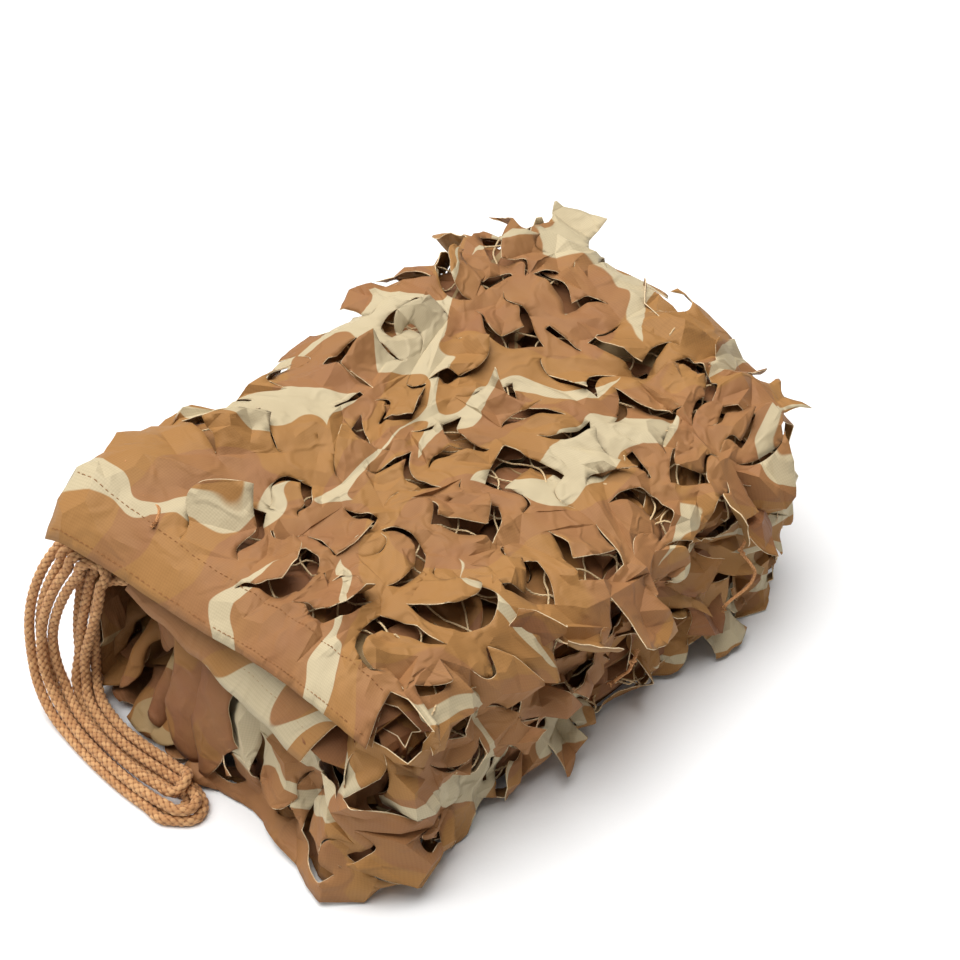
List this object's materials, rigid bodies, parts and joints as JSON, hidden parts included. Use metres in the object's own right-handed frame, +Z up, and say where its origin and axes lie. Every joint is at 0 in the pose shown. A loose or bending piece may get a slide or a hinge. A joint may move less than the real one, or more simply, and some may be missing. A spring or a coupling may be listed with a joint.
{
  "type": "folded camouflage netting",
  "caption": "Desert camouflage net folded to a packet, its incised leaves standing over a string net, with a loose hank of border rope at one corner.",
  "frame": {"origin": "middle of the underside of the folded net, on the surface it lies on", "axes": "+X along the packet's long side, away from the end with the hem and the rope; +Y to its back, which is the higher side; +Z up"},
  "size_m": [0.4426, 0.2966, 0.1604],
  "materials": {
    "garnish_cloth": "smooth woven polyester printed in sand, tan and red-brown, duller on its reverse",
    "rope": "braided tan-brown cord",
    "tie": "thin twisted orange-tan string"
  },
  "bodies": {
    "root": {"camouflage_net": "garnish_cloth", "border_rope": "rope", "tie_back": "tie", "tie_hem": "tie", "tie_front": "tie", "tie_middle": "tie"}
  },
  "joints": []
}
